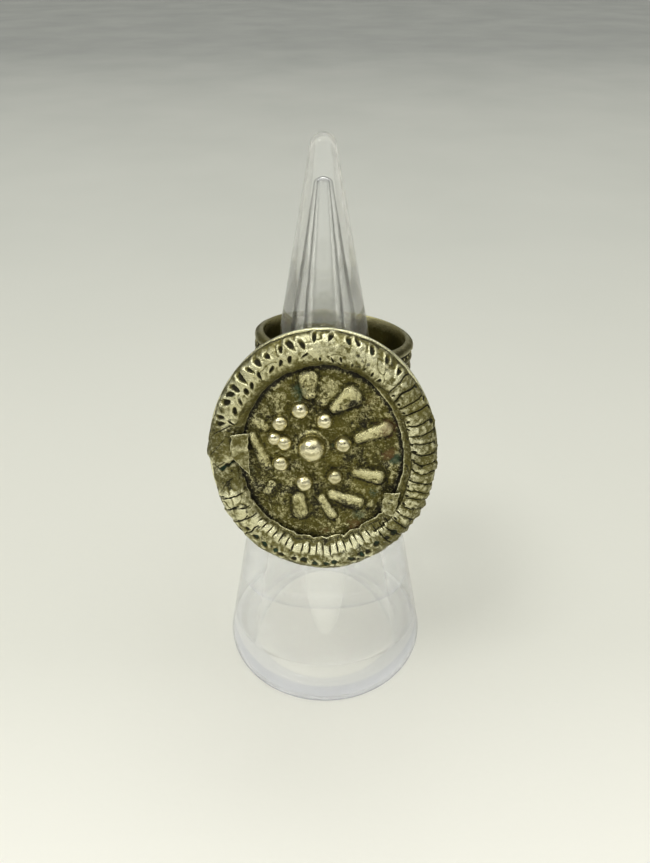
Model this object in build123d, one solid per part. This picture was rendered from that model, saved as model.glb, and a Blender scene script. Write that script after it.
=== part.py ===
"""A silver ring with an oval rosette medallion, worn on a clear ring cone.

Millimetres, +Z up. The origin is the middle of the cone's foot, on the table.
The medallion faces -Y and leans back with the cone's side.
"""
from build123d import *
import os
from math import asin, atan2, cos, degrees, hypot, pi, radians, sin

os.makedirs("parts", exist_ok=True)

# clear cone, hollow from below
CONE_HEIGHT = 76.7
CONE_RADIUS = 15.4
TIP_RADIUS = 1.45
TIP_WALL = 4.5
FOOT_WALL = 3.8
WAIST_HEIGHT = 50.0
WAIST_RADIUS = 3.1
HOLLOW_TIP_RADIUS = 0.7
FOOT_CHAMFER = 0.5

# band: a sheet with a raised border at each edge
BORE_RADIUS = 9.0
BAND_HEIGHT = 16.6
SHEET = 0.6
BORDER_HEIGHT = 4.2
BORDER_THICK = 1.15
STUD_PITCH = 1.14

# medallion: an oval back plate, a raised field and a rolled foil rim around it
OVAL_HALF_WIDTH = 13.8
OVAL_HALF_HEIGHT = 16.05
OVAL_END_SHARE = 0.9
MEDALLION_LIFT = -4.25
PLATE_THICK = 0.6
PLATE_MARGIN = 0.08
ROLL_RADIUS = 2.05
FOIL = 0.35
LIP_ANGLE = 158.0
RIB_PITCH = 1.36
RIB_PROUD = 0.13
FIELD_THICK = 0.4
FIELD_UNDER_ROLL = 1.1
DOME_RADIUS = 1.55
GRANULE_RADIUS = 0.98
PIECE_GAP = 0.05

# how the ring sits on the cone
SEAT_GAP = 0.08
LEAN_TOWARDS = 24.0
MEDALLION_TURN = 4.6

# section of a border: share of its height below the edge, share of its thickness
BORDER_SECTION = [
    (0.00, 0.30), (0.08, 0.78), (0.20, 1.00), (0.24, 0.76), (0.45, 0.76), (0.47, 0.98),
    (0.53, 0.98), (0.55, 0.76), (0.76, 0.76), (0.80, 1.00), (0.88, 0.96), (1.00, SHEET / BORDER_THICK),
]
STUD_ROWS = (0.345, 0.655)
STUD_SHARE = 0.137
STUD_BASE_SHARE = 0.74
STUD_TOP_SHARE = 0.98

# the field's relief fills this share of the opening's half height
RELIEF_HEIGHT_SHARE = 0.881
# dome's place left of the middle and above it, as shares of the relief's half width and half height
DOME_LEFT = 0.124
DOME_ABOVE = 0.136
# granules: angle round the dome, distance from it
GRANULES = [
    (111, 0.48), (70, 0.37), (12, 0.38), (-48, 0.46), (-98, 0.46), (-148, 0.44),
    (175, 0.34), (171, 0.47), (146, 0.49),
]
# petals: angle and distance of the inner end, angle and distance of the outer end, their two widths
PETALS = [
    (97, 0.57, 97, 0.94, 0.15, 0.20),
    (65, 0.49, 58, 0.91, 0.12, 0.21),
    (17, 0.51, 20, 1.01, 0.12, 0.16),
    (-25, 0.55, -20, 0.98, 0.12, 0.16),
    (-63, 0.59, -48, 1.00, 0.12, 0.16),
    (-76, 0.62, -70, 0.99, 0.10, 0.12),
    (-100, 0.61, -96, 0.98, 0.15, 0.17),
    (-131, 0.65, -129, 0.89, 0.10, 0.12),
    (175, 0.68, -153, 0.71, 0.09, 0.14),
    (162, 0.56, 161, 0.81, 0.11, 0.15),
    (135, 0.51, 131, 0.83, 0.13, 0.18),
    (80, 0.50, 77, 0.87, 0.14, 0.18),
]
PETAL_SUNK = 0.12

# ribs of the foil: share of the roll's section that they cover, then for each arc of the oval
# the shares of its length where they start and end, and their width in pitches
RIB_SPAN = (0.13, 0.80)
RIBS = {"right": (0.04, 0.96, 0.62), "bottom": (0.20, 0.90, 0.55), "top": (0.15, 0.80, 0.50)}
# corners of the tear, as shares of the oval's half width and half height
TEAR = [(-1.05, 0.0), (-0.92, -0.09), (-0.81, -0.07), (-0.64, -0.01), (-0.62, -0.08), (-0.84, -0.13), (-1.05, -0.08)]
# torn corners of the foil that hang over the field: beside the tear and at the lower right
FLAPS = [
    [(-0.80, 0.0), (-0.77, 0.18), (-0.64, 0.17), (-0.61, -0.17), (-0.72, -0.06)],
    [(0.71, -0.37), (0.70, -0.18), (0.58, -0.23), (0.58, -0.36)],
]
FLAP_LIFT = 0.35


def cone_side(radius, height, tip):
    """Angle between the axis and the side of a cone whose side touches the ball of its tip."""
    return atan2(radius, height - tip) - asin(tip / hypot(radius, height - tip))


def turned(outline):
    """Turns a closed outline of the XZ plane about Z."""
    return revolve(Plane.XZ * make_face(outline), axis=Axis.Z)


def round_tipped(foot, height, tip):
    """A solid turned from its foot's outline, a straight side and the ball of its tip, with the cone's side."""
    (radius, low), ball = foot[-1], height - tip
    side = cone_side(radius, height - low, tip)
    middle = (radians(90) + side) / 2
    edge = (tip * cos(side), ball + tip * sin(side))
    crown = (tip * cos(middle), ball + tip * sin(middle))
    return turned(Polyline((0, 0), *foot, edge) + ThreePointArc(edge, crown, (0, height)) + Line((0, height), (0, 0)))


def build_ring_cone():
    """The clear cone with its hollow, which is steeper above its waist."""
    side = cone_side(CONE_RADIUS, CONE_HEIGHT, TIP_RADIUS)
    chamfer_top = (CONE_RADIUS - FOOT_CHAMFER * sin(side), FOOT_CHAMFER * cos(side))
    cone = round_tipped([(CONE_RADIUS - FOOT_CHAMFER, 0), chamfer_top], CONE_HEIGHT, TIP_RADIUS)
    hollow_foot = [(CONE_RADIUS - FOOT_WALL, 0), (WAIST_RADIUS, WAIST_HEIGHT)]
    return cone - round_tipped(hollow_foot, CONE_HEIGHT - TIP_WALL, HOLLOW_TIP_RADIUS)


def ring_seat():
    """Place of the ring: its front wall lies on the cone and its lower back edge rests on it."""
    side = cone_side(CONE_RADIUS, CONE_HEIGHT, TIP_RADIUS)
    seat_radius = BORE_RADIUS - SEAT_GAP
    slant = (CONE_RADIUS - seat_radius * cos(2 * side) / cos(side)) / sin(side)
    foot_of_wall = Location((0, slant * sin(side) - CONE_RADIUS, slant * cos(side)))
    lean = Location((0, 0, 0), (-degrees(side), 0, 0))
    turn = Location((0, 0, 0), (0, 0, LEAN_TOWARDS - MEDALLION_TURN))
    return Location((0, 0, 0), (0, 0, -LEAN_TOWARDS)) * foot_of_wall * lean * Pos(0, seat_radius, 0) * turn


def oval_arcs():
    """The oval as four arcs that meet smoothly: name -> centre, radius, first angle, angle covered."""
    end_radius = OVAL_END_SHARE * OVAL_HALF_WIDTH
    end_centre = OVAL_HALF_HEIGHT - end_radius
    spare = OVAL_HALF_WIDTH - end_radius
    flank_radius = (OVAL_HALF_WIDTH ** 2 + end_centre ** 2 - end_radius ** 2) / (2 * spare)
    flank_centre = flank_radius - OVAL_HALF_WIDTH
    half = degrees(atan2(end_centre, flank_centre))
    return {
        "right": ((-flank_centre, 0), flank_radius, -half, 2 * half),
        "top": ((0, end_centre), end_radius, half, 180 - 2 * half),
        "left": ((flank_centre, 0), flank_radius, 180 - half, 2 * half),
        "bottom": ((0, -end_centre), end_radius, 180 + half, 180 - 2 * half),
    }


ARCS = oval_arcs()


def oval_plate(inset, low, high):
    """A plate with the oval's outline moved in by inset, between two heights."""
    edge = Curve()
    for centre, radius, first, cover in ARCS.values():
        edge += CenterArc(centre, radius - inset, first, cover)
    return Pos(0, 0, low) * extrude(make_face(edge), high - low)


def rolled(section, arc, first, cover):
    """Turns a section, drawn from the oval's outer edge, along part of one of the oval's arcs."""
    centre, radius = ARCS[arc][:2]
    out = (cos(radians(first)), sin(radians(first)), 0)
    plane = Plane(origin=(*centre, 0), x_dir=out, z_dir=(out[1], -out[0], 0))
    axis = Axis((*centre, 0), (0, 0, 1))
    return revolve(plane * Pos(radius, PIECE_GAP) * section, axis=axis, revolution_arc=cover)


def curl(outer, thick, first, last):
    """Section of the rolled foil between two angles, open under its inner lip."""
    def point(radius, angle):
        return (radius * cos(radians(angle)) - ROLL_RADIUS, radius * sin(radians(angle)))
    inner, middle = outer - thick, (first + last) / 2
    edge = ThreePointArc(point(outer, first), point(outer, middle), point(outer, last))
    edge += Line(point(outer, last), point(inner, last))
    edge += ThreePointArc(point(inner, last), point(inner, middle), point(inner, first))
    edge += Line(point(inner, first), point(outer, first))
    return make_face(edge)


def drop(reach, small, large):
    """A drop along X: two balls and the cone that touches both."""
    tilt = asin((large - small) / reach)
    touch = radians(90) + tilt
    near = (small * cos(touch), small * sin(touch))
    far = (reach + large * cos(touch), large * sin(touch))
    near_middle = (small * cos((pi + touch) / 2), small * sin((pi + touch) / 2))
    far_middle = (reach + large * cos(touch / 2), large * sin(touch / 2))
    outline = ThreePointArc((-small, 0), near_middle, near) + Line(near, far)
    outline += ThreePointArc(far, far_middle, (reach + large, 0)) + Line((reach + large, 0), (-small, 0))
    return revolve(make_face(outline), axis=Axis.X)


def build_band(medallion):
    """The band with its raised borders and studs, and the back plate soldered across its front."""
    section = [(BORE_RADIUS + BORDER_THICK * out, BORDER_HEIGHT * down) for down, out in BORDER_SECTION]
    upper = [(radius, BAND_HEIGHT - depth) for radius, depth in section]
    lower = reversed(section)
    band = turned(Polyline((BORE_RADIUS, BAND_HEIGHT), *upper, *lower, (BORE_RADIUS, 0), close=True))
    count = round(2 * pi * (BORE_RADIUS + BORDER_THICK) / STUD_PITCH)
    proud = BORDER_THICK * (STUD_TOP_SHARE - STUD_BASE_SHARE)
    middle = BORE_RADIUS + BORDER_THICK * STUD_BASE_SHARE + proud / 2
    size = BORDER_HEIGHT * STUD_SHARE
    stud = Pos(middle, 0, 0) * Rot(45, 0, 0) * Box(proud, size, size)
    studs = []
    for row, share in enumerate(STUD_ROWS):
        for height in (BORDER_HEIGHT * share, BAND_HEIGHT - BORDER_HEIGHT * share):
            for step in range(count):
                studs.append(Pos(0, 0, height) * Rot(0, 0, (step + row / 2) * 360 / count) * stud)
    plate = medallion * oval_plate(-PLATE_MARGIN, -PLATE_THICK, 0)
    return band.fuse(*studs).fuse(plate)


def build_field():
    """Thin sheet with a dome, granules and petals raised on it."""
    lip_inset = ROLL_RADIUS * (1 - cos(radians(LIP_ANGLE)))
    half_width, half_height = OVAL_HALF_WIDTH - lip_inset, OVAL_HALF_HEIGHT - lip_inset
    front = PIECE_GAP + FIELD_THICK

    def place(angle, reach):
        x = (reach * cos(radians(angle)) - DOME_LEFT) * half_width
        return (x, (reach * sin(radians(angle)) + DOME_ABOVE) * half_height * RELIEF_HEIGHT_SHARE)

    relief = [Pos(*place(0, 0), front) * Sphere(DOME_RADIUS)]
    relief += [Pos(*place(*granule), front) * Sphere(GRANULE_RADIUS) for granule in GRANULES]
    for near_angle, near, far_angle, far, narrow, wide in PETALS:
        x0, y0 = place(near_angle, near + narrow / 2)
        x1, y1 = place(far_angle, far - wide / 2)
        petal = drop(hypot(x1 - x0, y1 - y0), narrow / 2 * half_width, wide / 2 * half_width)
        turn = degrees(atan2(y1 - y0, x1 - x0))
        relief.append(Pos(x0, y0, front - PETAL_SUNK) * Rot(0, 0, turn) * petal)
    sheet_inset = lip_inset - FIELD_UNDER_ROLL
    sheet = oval_plate(sheet_inset, PIECE_GAP, front)
    return sheet.fuse(*relief) & oval_plate(sheet_inset, PIECE_GAP, front + DOME_RADIUS)


def build_collar():
    """Rolled foil rim with its ribs, its tear and its two torn corners."""
    section = curl(ROLL_RADIUS, FOIL, 0, LIP_ANGLE)
    rib_first, rib_last = (LIP_ANGLE * share for share in RIB_SPAN)
    rib_section = curl(ROLL_RADIUS + RIB_PROUD, RIB_PROUD + FOIL / 2, rib_first, rib_last)
    pieces = [rolled(section, name, first, cover) for name, (centre, radius, first, cover) in ARCS.items()]
    ribs = []
    for name, (start, end, width) in RIBS.items():
        radius, first, cover = ARCS[name][1:]
        step = degrees(RIB_PITCH / radius)
        for rib in range(round((end - start) * cover / step)):
            ribs.append(rolled(rib_section, name, first + start * cover + rib * step, width * step))
    collar = pieces[0].fuse(*pieces[1:]).fuse(*ribs)

    def shape(corners):
        points = [(x * OVAL_HALF_WIDTH, y * OVAL_HALF_HEIGHT) for x, y in corners]
        return make_face(Polyline(*points, close=True))

    collar -= extrude(shape(TEAR), 2 * ROLL_RADIUS)
    lip_height = PIECE_GAP + ROLL_RADIUS * sin(radians(LIP_ANGLE))
    flaps = [Pos(0, 0, lip_height + FLAP_LIFT) * extrude(shape(flap), FOIL) for flap in FLAPS]
    return collar.fuse(*flaps)


# frame of the medallion's back: X to the right, Y up its face, Z out of its face
plate_front = BORE_RADIUS + BORDER_THICK + PLATE_THICK / 2
plate_middle = (0, -plate_front, BAND_HEIGHT / 2 + MEDALLION_LIFT)
medallion = Location(Plane(origin=plate_middle, x_dir=(1, 0, 0), z_dir=(0, -1, 0)))
seat = ring_seat()
export_step(build_ring_cone(), "parts/ring_cone.step")
export_step(seat * build_band(medallion), "parts/shank_with_back_plate.step")
export_step(seat * medallion * build_field(), "parts/medallion_field.step")
export_step(seat * medallion * build_collar(), "parts/rim_collar.step")
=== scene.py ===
"""A silver ring with a rosette in a rolled foil rim, worn on a clear ring cone.

Shapes are worked out in millimetres and made in metres, in the frame of the solids:
Z up, the middle of the cone's foot at the origin, the medallion facing -Y.
"""
import math
from collections import namedtuple

import bpy
import numpy as np
from mathutils import Matrix, Vector


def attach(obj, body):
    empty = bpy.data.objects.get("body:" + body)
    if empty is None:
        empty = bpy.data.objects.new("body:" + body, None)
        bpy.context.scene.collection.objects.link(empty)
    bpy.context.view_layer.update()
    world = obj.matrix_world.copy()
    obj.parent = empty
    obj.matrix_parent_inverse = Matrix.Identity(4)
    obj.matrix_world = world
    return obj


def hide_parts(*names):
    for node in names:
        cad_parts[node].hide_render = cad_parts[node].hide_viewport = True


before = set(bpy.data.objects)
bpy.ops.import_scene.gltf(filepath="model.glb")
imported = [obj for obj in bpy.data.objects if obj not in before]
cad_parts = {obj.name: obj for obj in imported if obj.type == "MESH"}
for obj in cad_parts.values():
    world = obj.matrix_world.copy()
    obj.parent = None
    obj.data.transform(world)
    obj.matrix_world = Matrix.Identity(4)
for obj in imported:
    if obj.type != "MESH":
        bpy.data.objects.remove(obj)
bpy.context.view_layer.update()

MM = 0.001

# clear cone, hollow from below
CONE_HEIGHT = 76.7
CONE_RADIUS = 15.4
TIP_RADIUS = 1.45
TIP_WALL = 4.5
FOOT_WALL = 3.8
WAIST_HEIGHT = 50.0
WAIST_RADIUS = 3.1
HOLLOW_TIP_RADIUS = 0.7
FOOT_ROUND = 0.35
# how far inside the cone's outer side a point counts as the hollow's wall
HOLLOW_DEPTH = 0.6

# band
BORE_RADIUS = 9.0
BAND_HEIGHT = 16.6
BORDER_HEIGHT = 4.2
BORDER_THICK = 1.15

# medallion
OVAL_HALF_WIDTH = 13.8
OVAL_HALF_HEIGHT = 16.05
OVAL_END_SHARE = 0.9
MEDALLION_LIFT = -4.25
PLATE_THICK = 0.6
PLATE_MARGIN = 0.08
ROLL_RADIUS = 2.05
FOIL = 0.35
LIP_ANGLE = 158.0
FIELD_THICK = 0.4
FIELD_UNDER_ROLL = 1.1
DOME_RADIUS = 1.55
GRANULE_RADIUS = 0.98
PIECE_GAP = 0.05

# how the ring sits on the cone
SEAT_GAP = 0.08
LEAN_TOWARDS = 24.0
MEDALLION_TURN = 4.6

# section of a border: share of its height below the edge, share of its thickness
BORDER_SECTION = [
    (0.00, 0.12), (0.02, 0.34), (0.08, 0.72), (0.14, 0.92), (0.19, 0.96), (0.22, 0.90),
    (0.24, 0.74), (0.27, 0.70), (0.42, 0.70), (0.45, 0.75), (0.47, 0.92), (0.50, 0.95),
    (0.53, 0.92), (0.55, 0.75), (0.58, 0.70), (0.73, 0.70), (0.76, 0.76), (0.78, 0.90),
    (0.82, 0.97), (0.87, 0.95), (0.93, 0.80), (1.00, 0.53),
]
# rows of studs: share of the border's height below its edge
STUD_ROWS = (0.345, 0.655)
STUD_COUNT = 56
STUD_HALF = 0.34
STUD_PROUD = 0.20
STUD_ROOT = 0.10
STUD_BASE_SHARE = 0.72

# the field's relief fills this share of the opening's half height
RELIEF_HEIGHT_SHARE = 0.881
# dome's place left of the middle and above it, as shares of the relief's half width and half height
DOME_LEFT = 0.124
DOME_ABOVE = 0.136
# balls: angle round the dome, distance from it, size against a granule
Ball = namedtuple("Ball", "angle reach size")
DOME = Ball(0, 0, DOME_RADIUS / GRANULE_RADIUS)
GRANULES = [
    Ball(111, 0.48, 1.00), Ball(70, 0.37, 0.98), Ball(12, 0.38, 1.00),
    Ball(-48, 0.46, 0.95), Ball(-98, 0.46, 1.02), Ball(-148, 0.44, 0.98),
    Ball(175, 0.34, 0.92), Ball(171, 0.47, 0.84), Ball(146, 0.49, 0.94),
]
# petals: angle and distance of the inner end, angle and distance of the outer end, their widths,
# height in mm, how worn the top is, how hard the edge is, how far one long edge stands up in mm
Petal = namedtuple("Petal", "near_angle near far_angle far narrow wide high worn hard ridge")
PETALS = [
    Petal(97, 0.57, 97, 0.94, 0.19, 0.26, 0.70, 0.42, 0.9, 0.02),
    Petal(65, 0.49, 58, 0.91, 0.15, 0.29, 0.80, 0.50, 1.0, 0.16),
    Petal(17, 0.51, 20, 1.01, 0.15, 0.21, 0.80, 0.52, 1.0, 0.08),
    Petal(-25, 0.55, -20, 0.98, 0.15, 0.20, 0.74, 0.50, 1.0, 0.10),
    Petal(-63, 0.59, -48, 1.00, 0.15, 0.20, 0.56, 0.40, 0.8, 0.06),
    Petal(-76, 0.62, -70, 0.99, 0.13, 0.14, 0.55, 0.40, 0.9, -0.04),
    Petal(-100, 0.61, -96, 0.98, 0.19, 0.22, 0.62, 0.45, 0.9, 0.03),
    Petal(-131, 0.65, -129, 0.89, 0.13, 0.14, 0.30, 0.40, 0.4, 0.0),
    Petal(175, 0.68, -153, 0.71, 0.12, 0.18, 0.46, 0.40, 0.7, 0.0),
    Petal(162, 0.56, 161, 0.81, 0.14, 0.20, 0.34, 0.35, 0.5, 0.0),
    Petal(135, 0.51, 131, 0.83, 0.17, 0.27, 0.30, 0.28, 0.3, 0.0),
    Petal(80, 0.48, 78, 0.89, 0.22, 0.42, 0.46, 0.40, 0.5, 0.0),
]

# marks hammered into the rolled foil: kind, first and last angle round the rim, spacing in mm,
# place across the roll from its outer edge to its lip, length, width, slant, depth in mm, share of green
Mark = namedtuple("Mark", "kind first last spacing share length width slant depth green")
MARKS = [
    Mark("leaf", 99, 166, 1.30, 0.36, 1.60, 0.60, 22, 0.30, 0.15),
    Mark("leaf", 98, 162, 1.45, 0.64, 1.20, 0.46, -30, 0.22, 0.05),
    Mark("leaf", 56, 99, 1.45, 0.25, 1.30, 0.52, 8, 0.28, 0.55),
    Mark("leaf", 60, 97, 1.35, 0.72, 0.80, 0.34, 8, 0.12, 0.10),
    Mark("leaf", -44, 50, 1.28, 0.16, 0.70, 0.50, 25, 0.20, 0.45),
    Mark("leaf", -44, 54, 1.28, 0.72, 0.60, 0.40, 10, 0.22, 0.15),
    Mark("pit", 228, 322, 1.40, 0.50, 1.00, 0.95, 0, 0.18, 0.75),
    Mark("crack", 204, 238, 1.70, 0.40, 3.00, 0.20, 10, 0.24, 0.30),
    Mark("crack", 160, 206, 2.60, 0.45, 3.00, 0.14, 50, 0.14, 0.10),
    Mark("crack", 88, 92, 1.60, 0.80, 2.40, 0.13, 4, 0.14, 0.0),
]
# pleats pressed into the foil: first and last angle, spacing in mm, shares across the roll where they
# start and end, depth in mm, width of the gap between two as a share of the spacing, how far they wander
Pleats = namedtuple("Pleats", "first last spacing low high depth gap wander")
PLEATS = [
    Pleats(-50, 57, 1.28, 0.02, 0.75, 0.28, 0.20, 0.36),
    Pleats(230, 326, 1.06, 0.70, 0.88, 0.26, 0.30, 0.22),
    Pleats(206, 232, 1.75, 0.05, 0.85, 0.14, 0.18, 0.40),
]
# zones of the rim in degrees round its middle: start, end, softness of the ends
RIGHT_ZONE = (-52, 58, 4)
LOWER_ZONE = (228, 326, 5)
TORN_ZONE = (160, 206, 5)
UPPER_ZONE = (60, 160, 10)
RAGGED_ZONE = (205, 335, 12)
WIDE_ZONE = (236, 314, 22)
# places across the roll, as shares of the way from its outer edge to its lip
OUTER_GROOVE, CREST, LEDGE, FLUTES, LIP_FOOT = 0.10, 0.56, 0.78, 0.79, 0.93
# how far the lower part of the rim reaches over the field past its usual lip, in mm
WIDE_REACH = 0.85
TEAR_ANGLE = 183.5
TEAR_REACH = 1.25

# torn corners of the foil: four corners in shares of the oval's half width and half height, and
# their heights above the plate in mm
CORNERS = {
    "torn_flap": [
        (-0.785, 0.160, 1.80), (-0.645, 0.165, 1.26), (-0.628, -0.180, 1.14), (-0.790, -0.020, 1.70),
    ],
    "folded_tab": [
        (0.584, -0.224, 1.30), (0.712, -0.196, 1.70), (0.684, -0.412, 1.78), (0.572, -0.388, 1.34),
    ],
}
CORNER_SEEDS = {"torn_flap": 200, "folded_tab": 220}

# green and rusty patches on the field: place in mm, size in mm, strength
GREEN_SPOTS = [
    (-3.3, 8.6, 1.7, 0.75), (-5.2, 6.2, 1.2, 0.45), (6.7, -4.2, 1.1, 0.80), (8.9, 0.8, 0.9, 0.95),
    (5.2, -7.4, 1.4, 0.60), (-8.3, -2.6, 0.9, 0.70), (1.2, 1.9, 0.55, 0.70), (7.2, 1.7, 0.8, 0.55),
]
RUSTY_SPOTS = [
    (7.6, 4.9, 1.5, 0.95), (8.2, 1.2, 1.2, 0.85), (5.0, -9.0, 1.5, 0.80), (1.3, -10.4, 1.2, 0.70),
    (5.4, 8.0, 1.2, 0.55), (-4.4, -4.2, 1.3, 0.35),
]

# how finely the pieces are cut
CONE_SEGMENTS = 160
BAND_SEGMENTS = 360
PLATE_COLUMNS = 480
RIM_COLUMNS = 1240
RIM_ROWS = 62
RIM_BACK_ROWS = 8
FIELD_COLUMNS = 262
FIELD_ROWS = 306
CORNER_POINTS = 40


# places


def cone_side(radius, height, tip):
    """Angle between the axis and the side of a cone whose side touches the ball of its tip."""
    high = height - tip
    return math.atan2(radius, high) - math.asin(tip / math.hypot(radius, high))


CONE_SIDE = cone_side(CONE_RADIUS, CONE_HEIGHT, TIP_RADIUS)


def ring_seat():
    """Place of the ring on the cone, from the ring's own frame, in millimetres."""
    seat_radius = BORE_RADIUS - SEAT_GAP
    bent = math.cos(2 * CONE_SIDE) / math.cos(CONE_SIDE)
    slant = (CONE_RADIUS - seat_radius * bent) / math.sin(CONE_SIDE)
    lean = math.radians(LEAN_TOWARDS)
    turn = lean - math.radians(MEDALLION_TURN)
    return (
        Matrix.Rotation(-lean, 4, "Z")
        @ Matrix.Translation((0, slant * math.sin(CONE_SIDE) - CONE_RADIUS, slant * math.cos(CONE_SIDE)))
        @ Matrix.Rotation(-CONE_SIDE, 4, "X")
        @ Matrix.Translation((0, seat_radius, 0))
        @ Matrix.Rotation(turn, 4, "Z")
    )


def medallion_seat():
    """Place of the medallion's back: X to the right, Y up its face, Z out of its face."""
    front = BORE_RADIUS + BORDER_THICK + PLATE_THICK / 2
    middle = BAND_HEIGHT / 2 + MEDALLION_LIFT
    return ring_seat() @ Matrix(((1, 0, 0, 0), (0, 0, -1, -front), (0, 1, 0, middle), (0, 0, 0, 1)))


RING = ring_seat()
MEDALLION = medallion_seat()
UPRIGHT = Matrix.Identity(4)


# uneven surfaces


def ripple(u, v, size, seed, wrap=None):
    """Smooth random heights from -1 to 1 with bumps about size wide. wrap makes u come round."""
    cells = 256
    columns = cells if wrap is None else max(3, round(wrap / size))
    table = np.random.default_rng(seed).uniform(-1, 1, (columns, cells))
    step = size if wrap is None else wrap / columns
    x, y = np.asarray(u) / step, np.asarray(v) / size + 101.0
    x0, y0 = np.floor(x).astype(int), np.floor(y).astype(int)
    fx, fy = x - x0, y - y0
    fx, fy = fx * fx * (3 - 2 * fx), fy * fy * (3 - 2 * fy)
    xa, xb = x0 % columns, (x0 + 1) % columns
    ya, yb = y0 % cells, (y0 + 1) % cells
    low = table[xa, ya] * (1 - fx) + table[xb, ya] * fx
    high = table[xa, yb] * (1 - fx) + table[xb, yb] * fx
    return low * (1 - fy) + high * fy


def rough(u, v, size, seed, wrap=None, layers=3):
    """Ripples of several sizes, each half as wide and half as high as the one before."""
    return sum(ripple(u, v, size / 2 ** layer, seed + layer, wrap) / 2 ** layer for layer in range(layers))


def fade(value, start, end):
    """0 before start, 1 after end, smooth between."""
    share = np.clip((value - start) / (end - start), 0, 1)
    return share * share * (3 - 2 * share)


def bump(value, middle, width):
    """1 at the middle, fading to 0 about width away."""
    return np.exp(-((value - middle) / width) ** 2)


def blurred(grid, steps, round_columns):
    """A grid of heights averaged over a few steps each way."""
    result = grid
    for _ in range(2):
        for axis, mode in ((0, "edge"), (1, "wrap" if round_columns else "edge")):
            pad = [(0, 0), (0, 0)]
            pad[axis] = (steps + 1, steps)
            sums = np.cumsum(np.pad(result, pad, mode=mode), axis=axis)
            count = result.shape[axis]
            width = 2 * steps + 1
            upper = np.take(sums, np.arange(width, width + count), axis=axis)
            lower = np.take(sums, np.arange(0, count), axis=axis)
            result = (upper - lower) / width
    return result


class Relief:
    """Heights, dirt with painted shade, and green on a grid of points of a sheet, whose places u and v are in
    millimetres.
    """

    def __init__(self, u, v, wrap=None):
        self.u, self.v, self.wrap = u, v, wrap
        self.height, self.dirt, self.green = (np.zeros_like(u) for _ in range(3))

    def ripple(self, size, seed):
        return ripple(self.u, self.v, size, seed, self.wrap)

    def rough(self, size, seed, layers=3):
        return rough(self.u, self.v, size, seed, self.wrap, layers)

    def soil_and_shade(self, dirt):
        """Makes the sheet's dirt and painted shade at least this much."""
        self.dirt = np.maximum(self.dirt, dirt)

    def stain(self, green):
        """Makes the sheet at least as green as this."""
        self.green = np.maximum(self.green, green)

    def proud(self, steps):
        """How far each point stands above those around it, in twentieths of a millimetre."""
        return (self.height - blurred(self.height, steps, self.wrap is not None)) / 0.05


# meshes


def new_mesh(name, points, faces, place=UPRIGHT):
    """A smooth mesh from points in millimetres, moved to its place."""
    turn = np.array(place)
    points = (np.asarray(points, float).reshape(-1, 3) @ turn[:3, :3].T + turn[:3, 3]) * MM
    if isinstance(faces, np.ndarray):
        faces = faces.tolist()
    mesh = bpy.data.meshes.new(name)
    mesh.from_pydata(points.tolist(), [], faces)
    mesh.validate()
    mesh.polygons.foreach_set("use_smooth", [True] * len(mesh.polygons))
    mesh.update()
    return mesh


def join_meshes(name, meshes):
    """Several meshes as one."""
    points, faces = [], []
    for mesh in meshes:
        start = len(points)
        points += [tuple(vertex.co / MM) for vertex in mesh.vertices]
        faces += [tuple(start + number for number in face.vertices) for face in mesh.polygons]
    return new_mesh(name, points, faces)


def points_of(mesh):
    """The points of a mesh as rows of X, Y and Z, in metres."""
    spots = np.empty(len(mesh.vertices) * 3)
    mesh.vertices.foreach_get("co", spots)
    return spots.reshape(-1, 3)


def age(mesh, wear, dirt=0.0, green=0.0, red=0.0):
    """Stores for each point of a mesh, from 0 to 1, its wear with painted light, its dirt with painted shade,
    its green and its red.
    """
    # the wear layer also carries painted highlights and painted shade, and the dirt layer carries painted
    # shade
    for label, numbers in {"wear": wear, "dirt": dirt, "green": green, "red": red}.items():
        numbers = np.broadcast_to(np.clip(np.ravel(numbers), 0, 1), (len(mesh.vertices),))
        layer = mesh.attributes.new(label, "FLOAT", "POINT")
        layer.data.foreach_set("value", numbers.astype(np.float32))


def age_sheet(mesh, front, behind):
    """Ages a sheet: four grids for the points of its front, four numbers for all the others."""
    others = len(mesh.vertices) - front[0].size
    age(mesh, *(np.append(grid, np.full(others, number)) for grid, number in zip(front, behind)))


def new_piece(name, mesh, material, stands_for=None):
    """Puts a mesh in the scene as a piece of the ring or of its stand."""
    piece = bpy.data.objects.new(name, mesh)
    bpy.context.scene.collection.objects.link(piece)
    if not mesh.materials:
        mesh.materials.append(material)
    if stands_for:
        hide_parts(stands_for)
    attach(piece, "root")
    return piece


def grid_faces(rows, columns, round_rows=False, round_columns=False):
    """Four-cornered faces between the points of a grid, one row after the other."""
    index = np.arange(rows * columns).reshape(rows, columns)
    if round_rows:
        index = np.vstack([index, index[:1]])
    if round_columns:
        index = np.hstack([index, index[:, :1]])
    corners = (index[:-1, :-1], index[:-1, 1:], index[1:, 1:], index[1:, :-1])
    return np.stack([corner.ravel() for corner in corners], -1)


def grid_border(rows, columns):
    """Numbers of the points round a grid, in order, and of the point after each."""
    index = np.arange(rows * columns).reshape(rows, columns)
    loop = np.concatenate([index[0, :-1], index[:-1, -1], index[-1, :0:-1], index[:0:-1, 0]])
    return loop, np.roll(loop, -1)


# node trees


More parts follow.
